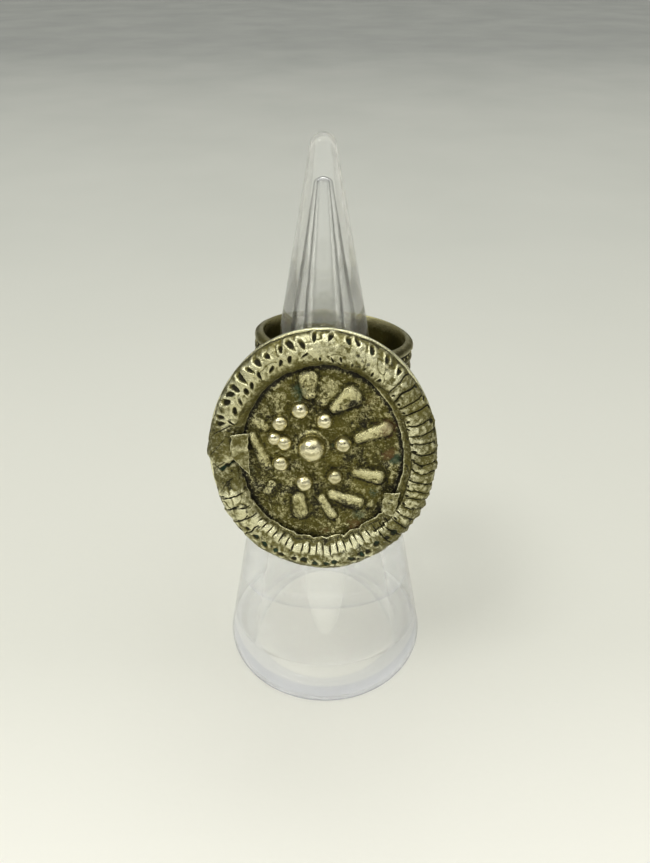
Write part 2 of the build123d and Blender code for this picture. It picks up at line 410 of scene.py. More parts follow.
class Wire:
    """An output in a node tree that can be used in sums."""

    def __init__(self, bench, socket):
        self.bench = bench
        self.socket = socket

    def sum(self, operation, first, second):
        return self.bench.put("ShaderNodeMath", {"operation": operation}, {0: first, 1: second})

    def __add__(self, other):
        return self.sum("ADD", self, other)

    def __radd__(self, other):
        return self.sum("ADD", other, self)

    def __sub__(self, other):
        return self.sum("SUBTRACT", self, other)

    def __rsub__(self, other):
        return self.sum("SUBTRACT", other, self)

    def __mul__(self, other):
        return self.sum("MULTIPLY", self, other)

    def __rmul__(self, other):
        return self.sum("MULTIPLY", other, self)

    def __truediv__(self, other):
        return self.sum("DIVIDE", self, other)

    def clipped(self):
        return self.bench.put("ShaderNodeClamp", {}, {0: self})

    def from_to(self, start, end):
        """0 below start, 1 above end, smooth between."""
        settings = {"interpolation_type": "SMOOTHSTEP"}
        return self.bench.put("ShaderNodeMapRange", settings, {0: self, 1: start, 2: end})


class Bench:
    """A node tree with one way to put a node in it."""

    def __init__(self, tree):
        self.tree = tree

    def put(self, kind, settings=None, sockets=None, out=0):
        """Puts in a node with its settings and what its sockets get, and returns one of its outputs."""
        node = self.tree.nodes.new(kind)
        for name, value in (settings or {}).items():
            if name == "stops":
                ramp = node.color_ramp
                while len(ramp.elements) < len(value):
                    ramp.elements.new(0.5)
                for element, (position, shade) in zip(ramp.elements, value):
                    element.position = position
                    element.color = shade
            else:
                setattr(node, name, value)
        for name, value in (sockets or {}).items():
            if isinstance(value, Wire):
                self.tree.links.new(value.socket, node.inputs[name])
            else:
                node.inputs[name].default_value = value
        return Wire(self, node.outputs[out]) if node.outputs else None

    def axes(self, place):
        """X, Y and Z of a place."""
        return [self.put("ShaderNodeSeparateXYZ", {}, {0: place}, out=axis) for axis in "XYZ"]

    def layer(self, name):
        """A number that each point of the mesh carries."""
        return self.put("ShaderNodeAttribute", {"attribute_name": name}, out="Fac")

    def blend(self, share, first, second):
        """A colour between two colours."""
        return self.put("ShaderNodeMix", {"data_type": "RGBA"}, {0: share, 6: first, 7: second}, out=2)

    def noise(self, place, scale, detail=3.0, roughness=0.55):
        """Cloudy numbers from 0 to 1. scale is about how many clouds lie along a metre."""
        sockets = {"Vector": place, "Scale": scale, "Detail": detail, "Roughness": roughness}
        return self.put("ShaderNodeTexNoise", {}, sockets)


def new_material(name):
    """An empty material: itself and its bench."""
    material = bpy.data.materials.new(name)
    material.use_nodes = True
    material.node_tree.nodes.clear()
    return material, Bench(material.node_tree)


def colour(red, green, blue):
    return (red, green, blue, 1.0)


# finishes

OLIVE = colour(0.24, 0.215, 0.052)
RUST = colour(0.19, 0.090, 0.036)
VERDIGRIS = colour(0.014, 0.058, 0.030)
# clouds along a metre, for the fineness of the noises in silver, acrylic and cloth
GRIT_SCALE, FINE_SCALE, PATCH_SCALE, BROAD_SCALE = 7000, 2600, 640, 170
SMEAR_SCALE, WEAVE_SCALE, SHADOW_SCALE = 160, 900, 14

# silvers: colour where bright, where dull and under dirt and painted shade, roughness where bright, height of
# the
# grain, how far the mottle breaks up the wear
SILVERS = {
    "rubbed foil silver": (
        (0.94, 0.92, 0.65), (0.122, 0.112, 0.038), (0.018, 0.016, 0.004), 0.19, 1.05, 0.75,
    ),
    "tarnished field silver": (
        (0.87, 0.83, 0.52), (0.092, 0.083, 0.019), (0.010, 0.008, 0.002), 0.20, 1.4, 1.35,
    ),
    "rubbed ball silver": (
        (0.90, 0.85, 0.60), (0.17, 0.150, 0.050), (0.016, 0.014, 0.003), 0.13, 0.50, 0.6,
    ),
    "worn band silver": (
        (0.52, 0.49, 0.30), (0.055, 0.048, 0.015), (0.010, 0.009, 0.003), 0.22, 0.5, 0.6,
    ),
}

ACRYLIC_CLEAR = colour(0.985, 0.99, 0.995)
ACRYLIC_FOOT_REFLECTION = colour(0.42, 0.44, 0.56)
ACRYLIC_PAINTED_DARK_LINE = colour(0.060, 0.062, 0.055)
# heights above the foot, in mm, between which the acrylic's painted violet reflection at the foot ends and
# its painted dark refraction lines begin
FOOT_REFLECTION_ENDS = (0.2, 0.7)
PAINTED_LINES_BEGIN = (40.0, 50.0)

# the cloth's colours with painted light, from 0.3 m in front of the foot to 0.7 m behind it: a painted pool
# of light just in front of the foot, painted shade far behind and at the near edge
CLOTH_START = 0.30
CLOTH_PAINTED_LIGHT_STOPS = [
    (0.0, colour(0.40, 0.38, 0.30)), (0.17, colour(0.46, 0.44, 0.35)), (0.25, colour(0.92, 0.91, 0.84)),
    (0.295, colour(0.71, 0.71, 0.645)), (0.477, colour(0.53, 0.54, 0.495)), (1.0, colour(0.30, 0.31, 0.295)),
]
CLOTH_PAINTED_BLOTCH = colour(0.74, 0.73, 0.68)


def aged_silver(name, bright, dull, dirt, shine, grain, spread):
    """Old silver: bright where it is rubbed and where highlights are painted, dull in between, dirt and
    coloured spots in the hollows, dark also where shade is painted.
    """
    material, bench = new_material(name)
    place = bench.put("ShaderNodeTexCoord", out="Object")
    grit = bench.noise(place, GRIT_SCALE, 4.0, 0.7)
    fine = bench.noise(place, FINE_SCALE, 4.0, 0.65)
    patches = bench.noise(place, PATCH_SCALE, 4.0, 0.62)
    broad = bench.noise(place, BROAD_SCALE, 3.0, 0.6)
    mottle = ((grit - 0.5) * 1.3 + (fine - 0.5) * 1.3 + (patches - 0.5) * 0.7) * spread
    speck = (patches - 0.5) * 1.3 + (fine - 0.5) * 1.1
    # worn follows the wear layer with its painted highlights and painted shade; the dirt share below also
    # holds painted shade
    worn = (bench.layer("wear") + mottle).from_to(0.10, 0.90)
    dirt_and_shade_share = (bench.layer("dirt") - mottle * 0.7).from_to(0.28, 0.74)
    greenish = (bench.layer("green") + speck).from_to(0.42, 0.92)
    rusty = (bench.layer("red") + (broad - 0.5) * 0.6 - speck).from_to(0.40, 0.95)
    clouds = ((broad - 0.5) * 1.8 + 0.35).clipped()
    base = bench.blend(worn, colour(*dull), colour(*bright))
    base = bench.blend(clouds, base, bench.blend(0.65, base, OLIVE))
    base = bench.blend(dirt_and_shade_share * 0.95, base, colour(*dirt))
    base = bench.blend(rusty * 0.50, base, RUST)
    base = bench.blend(greenish * 0.80, base, VERDIGRIS)
    bare = (1 - dirt_and_shade_share * 0.85) * (1 - greenish * 0.9) * (1 - rusty * 0.6) * (0.70 + worn * 0.30)
    roughness = shine + (1 - worn) * 0.24 + dirt_and_shade_share * 0.30 + (patches - 0.5) * 0.20
    height = grit * 0.22 + fine * 0.6 + patches * 1.5
    sockets = {"Strength": 0.5 * grain, "Distance": 0.36 * MM, "Height": height}
    surface = bench.put("ShaderNodeBump", {}, sockets)
    shader = bench.put("ShaderNodeBsdfPrincipled", {}, {
        "Base Color": base, "Metallic": bare.clipped(), "Roughness": roughness.clipped(), "Normal": surface,
    })
    bench.put("ShaderNodeOutputMaterial", {}, {"Surface": shader})
    return material


def clear_acrylic():
    """Clear cast acrylic, with a painted violet reflection at its foot and painted dark refraction lines
    where the hollow's wall, and faintly the outer side, is seen at a glance.
    """
    material, bench = new_material("clear acrylic")
    place = bench.put("ShaderNodeTexCoord", out="Object")
    across, along, height = bench.axes(place)
    smears = bench.noise(place, SMEAR_SCALE, 2.0)
    # painted reflection: a violet-grey band on the foot
    foot = 1 - height.from_to(*(MM * end for end in FOOT_REFLECTION_ENDS))
    # the hollow's wall: well inside the cone's outer side and below the solid tip
    limit = (CONE_RADIUS - HOLLOW_DEPTH) * MM - height * math.tan(CONE_SIDE)
    below_tip = 1 - height.from_to((CONE_HEIGHT - TIP_WALL) * MM, (CONE_HEIGHT - TIP_WALL + 0.3) * MM)
    hollow = (limit * limit - across * across - along * along).from_to(0.0, 2e-7) * below_tip
    # painted dark lines: seen at a glance, the hollow's wall, and faintly the outer side, is darkened, made
    # metallic and more opaque, standing in for refraction
    glancing = bench.put("ShaderNodeLayerWeight", {}, {"Blend": 0.5}, out="Facing")
    above = height.from_to(*(MM * end for end in PAINTED_LINES_BEGIN))
    line = glancing.from_to(0.34, 0.60) * hollow * above * 0.95
    line = line + glancing.from_to(0.70, 1.0) * (1 - hollow) * 0.25
    base = bench.blend(foot, ACRYLIC_CLEAR, ACRYLIC_FOOT_REFLECTION)
    base = bench.blend(line, base, ACRYLIC_PAINTED_DARK_LINE)
    shader = bench.put("ShaderNodeBsdfPrincipled", {}, {
        "Base Color": base, "Roughness": (smears - 0.5) * 0.05 + 0.03, "Metallic": line,
        "IOR": 1.49, "Transmission Weight": 1.0, "Alpha": line * 0.40 + 0.56,
    })
    bench.put("ShaderNodeOutputMaterial", {}, {"Surface": shader})
    return material


def pale_cloth():
    """The cloth under the stand, with painted light: a painted pool of light in front of the foot, painted
    shade far behind and at the near edge, and soft painted blotches of shade.
    """
    material, bench = new_material("pale cloth")
    place = bench.put("ShaderNodeTexCoord", out="Object")
    depth = bench.axes(place)[1]
    mottle = bench.noise(place, SHADOW_SCALE, 3.0)
    weave = bench.noise(place, WEAVE_SCALE, 2.0)
    # painted light and shade along the cloth's depth
    base = bench.put("ShaderNodeValToRGB", {"stops": CLOTH_PAINTED_LIGHT_STOPS}, {0: depth + CLOTH_START})
    # painted shade: soft blotches towards a mid grey
    base = bench.blend((mottle - 0.5) * 0.25 + 0.1, base, CLOTH_PAINTED_BLOTCH)
    surface = bench.put("ShaderNodeBump", {}, {"Strength": 0.25, "Distance": 0.1 * MM, "Height": weave})
    shader = bench.put("ShaderNodeBsdfPrincipled", {}, {
        "Base Color": base, "Roughness": 0.95, "Specular IOR Level": 0.1, "Normal": surface,
    })
    bench.put("ShaderNodeOutputMaterial", {}, {"Surface": shader})
    return material


FOIL_SILVER, FIELD_SILVER, BALL_SILVER, BAND_SILVER = (
    aged_silver(name, *finish) for name, finish in SILVERS.items()
)
ACRYLIC = clear_acrylic()


# geometry trees


def new_tree(name, inputs):
    """A geometry tree with named inputs: its bench and the wires of its inputs."""
    tree = bpy.data.node_groups.new(name, "GeometryNodeTree")
    tree.interface.new_socket("Geometry", in_out="INPUT", socket_type="NodeSocketGeometry")
    for label, kind in inputs.items():
        tree.interface.new_socket(label, in_out="INPUT", socket_type="NodeSocket" + kind)
    tree.interface.new_socket("Geometry", in_out="OUTPUT", socket_type="NodeSocketGeometry")
    bench = Bench(tree)
    entry = tree.nodes.new("NodeGroupInput")
    return bench, {socket.name: Wire(bench, socket) for socket in entry.outputs if socket.name}


def close_tree(bench, shape, material):
    """Ends a tree: real geometry with its material."""
    shape = bench.put("GeometryNodeRealizeInstances", {}, {0: shape})
    shape = bench.put("GeometryNodeSetShadeSmooth", {}, {0: shape})
    shape = bench.put("GeometryNodeSetMaterial", {}, {"Geometry": shape, "Material": material})
    bench.put("NodeGroupOutput", {}, {0: shape})
    return bench.tree


def grown(name, start, tree, values, place=UPRIGHT):
    """Runs a tree on a start mesh and returns the result as a plain mesh, in its place, in metres."""
    maker = bpy.data.objects.new(name, start)
    bpy.context.scene.collection.objects.link(maker)
    modifier = maker.modifiers.new("shape", "NODES")
    modifier.node_group = tree
    for item in tree.interface.items_tree:
        if item.in_out == "INPUT" and item.name in values:
            modifier[item.identifier] = values[item.name]
    shaped = maker.evaluated_get(bpy.context.evaluated_depsgraph_get())
    mesh = bpy.data.meshes.new_from_object(shaped)
    maker.modifiers.clear()
    bpy.data.objects.remove(maker)
    mesh.transform(Matrix.Scale(MM, 4) @ place)
    mesh.name = name
    return mesh


def outline_mesh(name, outline, closed):
    """The section of a turned piece as a line of edges, in millimetres."""
    mesh = bpy.data.meshes.new(name)
    count = len(outline)
    edges = [(number, number + 1) for number in range(count - 1)]
    if closed:
        edges.append((count - 1, 0))
    mesh.from_pydata([(radius, -height, 0) for radius, height in outline], edges, [])
    return mesh


def turning_tree():
    """Turns a section about the Z axis."""
    bench, inputs = new_tree("turned piece", {"Segments": "Int", "Material": "Material"})
    section = bench.put("GeometryNodeMeshToCurve", {}, {0: inputs["Geometry"]})
    sockets = {"Resolution": inputs["Segments"], "Radius": 0.0005}
    circle = bench.put("GeometryNodeCurvePrimitiveCircle", {}, sockets)
    shape = bench.put("GeometryNodeCurveToMesh", {}, {0: circle, 1: section})
    shape = bench.put("GeometryNodeMergeByDistance", {}, {0: shape, "Distance": 0.002})
    return close_tree(bench, shape, inputs["Material"])


def ring_of_studs_tree():
    """Copies of a stud all round the band, each turned to face outwards."""
    kinds = {"Count": "Int", "Radius": "Float", "Height": "Float", "Turn": "Float", "Material": "Material"}
    bench, inputs = new_tree("studs round the band", kinds)
    sockets = {"Vertices": inputs["Count"], "Radius": inputs["Radius"]}
    circle = bench.put("GeometryNodeMeshCircle", {}, sockets)
    angle = bench.put("GeometryNodeInputIndex") * math.tau / inputs["Count"]
    facing = bench.put("ShaderNodeCombineXYZ", {}, {"Z": angle})
    sockets = {2: 0.85, 3: 1.12, "Seed": 4}
    size = bench.put("FunctionNodeRandomValue", {"data_type": "FLOAT"}, sockets, out=1)
    studs = bench.put("GeometryNodeInstanceOnPoints", {}, {
        "Points": circle, "Instance": inputs["Geometry"], "Rotation": facing, "Scale": size,
    })
    lift = bench.put("ShaderNodeCombineXYZ", {}, {"Z": inputs["Height"]})
    turn = bench.put("ShaderNodeCombineXYZ", {}, {"Z": inputs["Turn"]})
    shape = bench.put("GeometryNodeTransform", {}, {0: studs, "Translation": lift, "Rotation": turn})
    return close_tree(bench, shape, inputs["Material"])


def balls_tree():
    """A dented ball on each point, as large as its size layer says."""
    bench, inputs = new_tree("soldered balls", {"Dent": "Float", "Material": "Material"})
    size = bench.put("GeometryNodeInputNamedAttribute", {"data_type": "FLOAT"}, {"Name": "size"})
    ball = bench.put("GeometryNodeMeshUVSphere", {}, {"Segments": 40, "Rings": 26, "Radius": 1.0})
    sockets = {"Points": inputs["Geometry"], "Instance": ball, "Scale": size}
    balls = bench.put("GeometryNodeInstanceOnPoints", {}, sockets)
    shape = bench.put("GeometryNodeRealizeInstances", {}, {0: balls})
    place = bench.put("GeometryNodeInputPosition")
    normal = bench.put("GeometryNodeInputNormal")
    cloud = bench.put("ShaderNodeTexNoise", {}, {"Vector": place, "Scale": 1.1, "Detail": 2.0})
    lump = (cloud - 0.5) * inputs["Dent"]
    push = bench.put("ShaderNodeVectorMath", {"operation": "SCALE"}, {0: normal, "Scale": lump})
    shape = bench.put("GeometryNodeSetPosition", {}, {0: shape, "Offset": push})
    return close_tree(bench, shape, inputs["Material"])


TURNING = turning_tree()
STUD_RING = ring_of_studs_tree()
BALLS = balls_tree()


# clear cone


def arc(centre, radius, start, end, steps):
    """Points of an arc with both its ends."""
    x, y = centre
    angles = np.linspace(start, end, steps + 1)
    return [(x + radius * math.cos(angle), y + radius * math.sin(angle)) for angle in angles]


def tip_outline(radius, height, tip, steps, foot_round=0.0):
    """Outline of a round-tipped cone from its foot to its top."""
    side = cone_side(radius, height, tip)
    outline = [(radius, 0.0)]
    if foot_round:
        bend = math.pi / 2 + side
        reach = foot_round / math.tan((math.pi - bend) / 2)
        outline = arc((radius - reach, foot_round), foot_round, -math.pi / 2, side, 6)
    tip_arc = arc((0.0, height - tip), tip, side, math.pi / 2, steps)
    outline += np.linspace(outline[-1], tip_arc[0], 21)[1:].tolist()
    return outline + tip_arc[1:-1] + [(0.0, height)]


def make_cone():
    """The clear cone: its outside from the tip down, then the hollow from the foot up."""
    outer = tip_outline(CONE_RADIUS, CONE_HEIGHT, TIP_RADIUS, 12, FOOT_ROUND)
    foot, waist = (CONE_RADIUS - FOOT_WALL, 0.0), (WAIST_RADIUS, WAIST_HEIGHT)
    top = tip_outline(WAIST_RADIUS, CONE_HEIGHT - TIP_WALL - WAIST_HEIGHT, HOLLOW_TIP_RADIUS, 10)
    below = np.linspace(foot, waist, 17)[:-1]
    section = np.vstack([outer[::-1], below, np.array(top) + (0, WAIST_HEIGHT)])
    start = outline_mesh("cone section", section.tolist(), False)
    mesh = grown("clear_cone", start, TURNING, {"Segments": CONE_SEGMENTS, "Material": ACRYLIC})
    cone = new_piece("clear_cone", mesh, ACRYLIC, "ring_cone")
    cone.visible_shadow = False


# medallion's oval


def oval_arcs():
    """The oval's four arcs: centre, radius, first angle, angle covered."""
    end_radius = OVAL_END_SHARE * OVAL_HALF_WIDTH
    end_centre = OVAL_HALF_HEIGHT - end_radius
    spare = OVAL_HALF_WIDTH - end_radius
    flank_radius = (OVAL_HALF_WIDTH ** 2 + end_centre ** 2 - end_radius ** 2) / (2 * spare)
    flank_centre = flank_radius - OVAL_HALF_WIDTH
    half = math.atan2(end_centre, flank_centre)
    return [
        ((-flank_centre, 0), flank_radius, -half, 2 * half),
        ((0, end_centre), end_radius, half, math.pi - 2 * half),
        ((flank_centre, 0), flank_radius, math.pi - half, 2 * half),
        ((0, -end_centre), end_radius, math.pi + half, math.pi - 2 * half),
    ]


class Oval:
    """The oval sampled at even steps along a line that lies inset millimetres inside its edge."""

    def __init__(self, count, inset):
        arcs = oval_arcs()
        lengths = np.array([(radius - inset) * cover for _, radius, _, cover in arcs])
        starts = np.concatenate([[0], np.cumsum(lengths)])
        self.length = starts[-1]
        self.along = np.arange(count) * self.length / count
        which = np.searchsorted(starts, self.along, side="right") - 1
        self.centre = np.array([arc[0] for arc in arcs])[which]
        self.radius = np.array([arc[1] for arc in arcs])[which]
        firsts = np.array([arc[2] for arc in arcs])[which]
        turn = firsts + (self.along - starts[which]) / (self.radius - inset)
        self.out = np.stack([np.cos(turn), np.sin(turn)], -1)
        line = self.edge(inset)
        self.angle = np.degrees(np.arctan2(line[:, 1], line[:, 0]))

    def edge(self, inset):
        """Points of the oval moved in by inset: a number, or a grid of them with a column for each point."""
        return self.centre + (self.radius - inset)[..., None] * self.out

    def at(self, angle):
        """Distance along the oval of the point at an angle round the middle, in degrees."""
        shift = (self.angle - angle + 180) % 360 - 180
        return self.along[np.argmin(np.abs(shift))]


def within(angle, first, last, soft):
    """1 for angles between first and last, in degrees, with soft ends."""
    middle, half = (first + last) / 2, (last - first) / 2
    away = np.abs((angle - middle + 180) % 360 - 180)
    return 1 - fade(away, half - soft, half + soft)


# rolled foil rim


class RimRelief(Relief):
    """The unrolled foil of the rim: rows across the roll, columns along it."""

    def __init__(self):
        self.oval = Oval(RIM_COLUMNS, ROLL_RADIUS)
        self.width = math.radians(LIP_ANGLE) * ROLL_RADIUS
        along, across = np.meshgrid(self.oval.along, np.linspace(0, self.width, RIM_ROWS))
        super().__init__(along, across, self.oval.length)
        self.share = across / self.width
        self.angle = np.broadcast_to(self.oval.angle, along.shape)
        zones = (RIGHT_ZONE, LOWER_ZONE, TORN_ZONE, UPPER_ZONE)
        self.right, self.lower, self.torn, self.upper = (within(self.angle, *zone) for zone in zones)

    def ripple_along(self, size, seed):
        """Ripples that change only along the rim: one number for each column."""
        return ripple(self.oval.along, 0 * self.oval.along, size, seed, self.wrap)

    def beside(self, place):
        """Distance along the rim from a place, in mm, less than half the way round."""
        return (self.u - place + self.wrap / 2) % self.wrap - self.wrap / 2

    def press(self, mark, place, random):
        """One hammered mark at a place along the rim. Its length runs across the roll."""
        jitter = random.normal(0, 0.16, 5)
        along = (place + jitter[0] * 1.3) % self.wrap
        across = self.width * mark.share + jitter[1] * 0.9
        length, width = mark.length * (1 + jitter[2]), mark.width * (1 + jitter[3])
        slant = math.radians(mark.slant + jitter[4] * 90)
        depth = mark.depth * random.uniform(0.75, 1.2)
        step = self.wrap / RIM_COLUMNS
        reach = max(length, width) * 0.95 + 0.4
        columns = np.arange(int((along - reach) / step), int((along + reach) / step) + 1) % RIM_COLUMNS
        s = self.beside(along)[:, columns]
        w = self.v[:, columns] - across
        if mark.kind == "crack":
            s = s + 0.20 * ripple(w, w * 0 + along, 0.8, 31) + 0.08 * ripple(w, w * 0 + along, 0.25, 37)
        p = (s * math.cos(slant) + w * math.sin(slant)) / (width / 2)
        q = (w * math.cos(slant) - s * math.sin(slant)) / (length / 2)
        if mark.kind == "leaf":
            edge = np.hypot(p * (1 + 0.22 * np.clip(q, -1, 1)), q)
        elif mark.kind == "crack":
            edge = np.maximum(np.abs(p), np.abs(q) ** 3)
        else:
            edge = np.hypot(p, q)
        edge = edge + 0.18 * ripple(self.u[:, columns], w, 0.34, 41)
        inside = 1 - fade(edge, 0.45, 1.08)
        burr = 0.10 if mark.kind == "pit" else 0.26
        self.height[:, columns] += depth * burr * bump(edge, 1.30, 0.34) * (1 + 0.7 * np.tanh(2 * p))
        self.height[:, columns] -= depth * inside
        dirt = inside * random.uniform(0.75, 1.1)
        green = inside * mark.green * random.uniform(0.3, 1.2)
        self.dirt[:, columns] = np.maximum(self.dirt[:, columns], dirt)
        self.green[:, columns] = np.maximum(self.green[:, columns], green)

    def marks(self):
        """The rows of hammered marks and the cracks."""
        random = np.random.default_rng(7)
        for mark in MARKS:
            start, end = self.oval.at(mark.first), self.oval.at(mark.last)
            span = (end - start) % self.wrap
            count = round(span / mark.spacing)
            for number in range(count):
                self.press(mark, start + (number + 0.5) * span / count, random)

    def pleats(self):
        """Rounded folds side by side, with a dark crevice between two."""
        random = np.random.default_rng(19)
        for pleats in PLEATS:
            count = round(self.wrap / pleats.spacing)
            drift = pleats.wander * self.ripple(1.5, 20 + count)
            phase = self.u * count / self.wrap + drift / pleats.spacing
            number = np.floor(phase).astype(int) % count
            ridge = np.sin(np.pi * (phase % 1))
            swell = random.uniform(0.7, 1.15, count)[number]
            ends = random.normal(0, 0.03, count)[number]
            low, high = pleats.low + ends, pleats.high + ends
            side = fade(self.share, low, low + 0.10) * (1 - fade(self.share, high - 0.06, high + 0.05))
            side = side * within(self.angle, pleats.first, pleats.last, 2.0)
            crevice = (1 - fade(ridge, pleats.gap * 0.45, pleats.gap * 1.25)) * side
            self.height += side * pleats.depth * (ridge ** 0.42 * swell - 0.45)
            self.height -= pleats.depth * 0.35 * crevice
            self.soil_and_shade(crevice)

    def tear(self):
        """The torn left side: a jagged edge over a green gap, and a flatter rough sheet below it."""
        edge = TEAR_REACH * (1 - np.abs(self.share - 0.45) / 0.45).clip(0, 1)
        edge = edge + 0.18 * ripple(self.v, self.v * 0, 0.35, 23)
        past = self.beside(self.oval.at(TEAR_ANGLE)) - edge
        near = within(self.angle, TEAR_ANGLE - 16, TEAR_ANGLE + 20, 4)
        above = (1 - fade(past, -0.04, 0.03)) * fade(past, -3.0, -0.2)
        gap = fade(past, -0.02, 0.06) * (1 - fade(past, 0.42, 0.75))
        below = fade(past, 0.3, 0.6) * (1 - fade(past, 3.6, 4.6))
        self.height += near * (0.26 * above - 0.50 * gap - 0.14 * below)
        self.height += near * below * 0.10 * rough(self.u, self.v, 0.7, 27)
        self.soil_and_shade(near * np.maximum(gap, 0.30 * below))
        self.stain(near * gap * 1.3)

    def dents(self):
        """Soft dents, crust and creases of hand-pressed foil."""
        self.height += 0.09 * self.ripple(2.6, 5) + 0.05 * self.rough(0.9, 11)
        crust = self.rough(0.34, 13, 2)
        self.height += crust * (0.016 + 0.040 * self.torn + 0.030 * self.right + 0.020 * self.lower)
        crease = np.abs(ripple(self.u + 0.6 * self.v, self.v, 1.3, 17, self.wrap))
        fold = (1 - fade(crease, 0.0, 0.10)) * (1 - 0.6 * self.lower)
        self.height -= 0.06 * fold
        self.soil_and_shade(0.45 * fold)

    def ledge_and_lip(self):
        """A flat ledge between the pleats on the right and the lip, and the lip turned up a little."""
        ledge = self.right * fade(self.share, LEDGE - 0.03, LEDGE + 0.03)
        self.height -= 0.26 * ledge * (1 - fade(self.share, LIP_FOOT, 1.0))
        self.height += 0.10 * fade(self.share, LIP_FOOT, 0.99) * (0.5 + 0.5 * self.lower)
        self.soil_and_shade(0.9 * self.right * bump(self.share, LEDGE, 0.018))

    def rub(self):
        """Soils the foil and returns its wear with painted light: bright on what stands up, on the crest and
        at both edges, with painted shade on the inner underside of the upper roll and a painted highlight
        along the lower roll's upward-facing inner side.
        """
        share = self.share
        proud = self.proud(5)
        crest = bump(share, CREST, 0.24) * (1 - 0.7 * self.torn)
        wear = 0.40 + 0.34 * proud.clip(-1, 1.4) + 0.22 * crest - 0.60 * self.dirt
        wear += 0.16 * self.rough(1.6, 51) + 0.13 * self.rough(0.45, 52)
        wear -= 0.04 * self.upper + 0.38 * self.torn + 0.46 * self.right + 0.34 * self.lower
        # painted shade: the inner underside of the upper roll is dimmed, besides its tarnish
        wear -= 0.36 * self.upper * fade(share, 0.58, 0.88)
        wear -= 0.34 * bump(share, OUTER_GROOVE, 0.08)
        # painted highlight: a bright band along the upward-facing inner side of the lower roll, over the
        # flutes, added to their wear
        wear += self.lower * (0.70 * bump(share, FLUTES, 0.09) - 0.30 * bump(share, LIP_FOOT, 0.03))
        lip_edge = fade(share, 0.968, 0.985)
        outer_edge = 1 - fade(share, 0.018, 0.034)
        wear = np.maximum(wear, lip_edge * (0.75 + 0.3 * self.ripple(1.4, 53)))
        wear = np.maximum(wear, outer_edge)
        self.soil_and_shade(0.55 * self.lower * bump(share, LIP_FOOT, 0.03))
        self.soil_and_shade((0.8 + 0.3 * self.ripple(0.9, 55)) * bump(share, 0.075, 0.035))
        self.soil_and_shade(0.60 * fade(self.rough(0.8, 57), 0.30, 0.9))
        self.dirt = np.clip(self.dirt - 0.25 * proud.clip(0, 2), 0, 1) * (1 - lip_edge) * (1 - outer_edge)
        self.stain(0.5 * fade(self.rough(1.5, 61), 0.8, 1.4) * (1 - crest))
        return np.maximum(wear, 0.20)


def make_rim():
    """The rolled foil rim as one closed skin: the outside of the foil, then its inside."""
    relief = RimRelief()
    relief.marks()
    relief.pleats()
    relief.tear()
    relief.dents()
    relief.ledge_and_lip()
    wear = relief.rub()
    oval = relief.oval
    ragged = 0.012 * relief.ripple_along(1.7, 29)
    ragged += 0.040 * relief.ripple_along(0.75, 30) * within(oval.angle, *RAGGED_ZONE)
    lip = np.radians(LIP_ANGLE * (1 + ragged))
    flat = 1 - 0.30 * relief.torn[0] - 0.05 * relief.ripple_along(6.0, 33) ** 2
    wander = 0.07 * relief.ripple_along(3.0, 35)
    reach = WIDE_REACH * within(oval.angle, *WIDE_ZONE)

    def skin(turn, radius):
        """Points of the roll at an angle round its section and a distance from its middle."""
        inset = ROLL_RADIUS - radius * np.cos(turn) + wander
        inset = inset + reach * fade(turn, math.radians(112), math.radians(160))
        up = PIECE_GAP + radius * np.sin(turn) * flat
        return np.concatenate([oval.edge(inset), np.maximum(up, PIECE_GAP)[..., None]], -1)

    outside = skin(relief.share * lip, ROLL_RADIUS + relief.height)
    back_share = np.linspace(0.985, 0, RIM_BACK_ROWS)[:, None]
    rows = (back_share[:, 0] * (RIM_ROWS - 1)).round().astype(int)
    hollows = np.minimum(blurred(relief.height, 8, True)[rows], 0)
    thin = FOIL * (0.55 + 0.45 * fade(1 - back_share, 0.0, 0.3))
    inside = skin(back_share * lip, ROLL_RADIUS - thin + hollows * 0.6)
    faces = grid_faces(RIM_ROWS + RIM_BACK_ROWS, RIM_COLUMNS, True, True)
    mesh = new_mesh("rolled_rim", np.concatenate([outside, inside]), faces, MEDALLION)
    age_sheet(mesh, (wear, relief.dirt, relief.green, 0 * wear), (0.1, 0.8, 0.1, 0.0))
    new_piece("rolled_rim", mesh, FOIL_SILVER, "rim_collar")


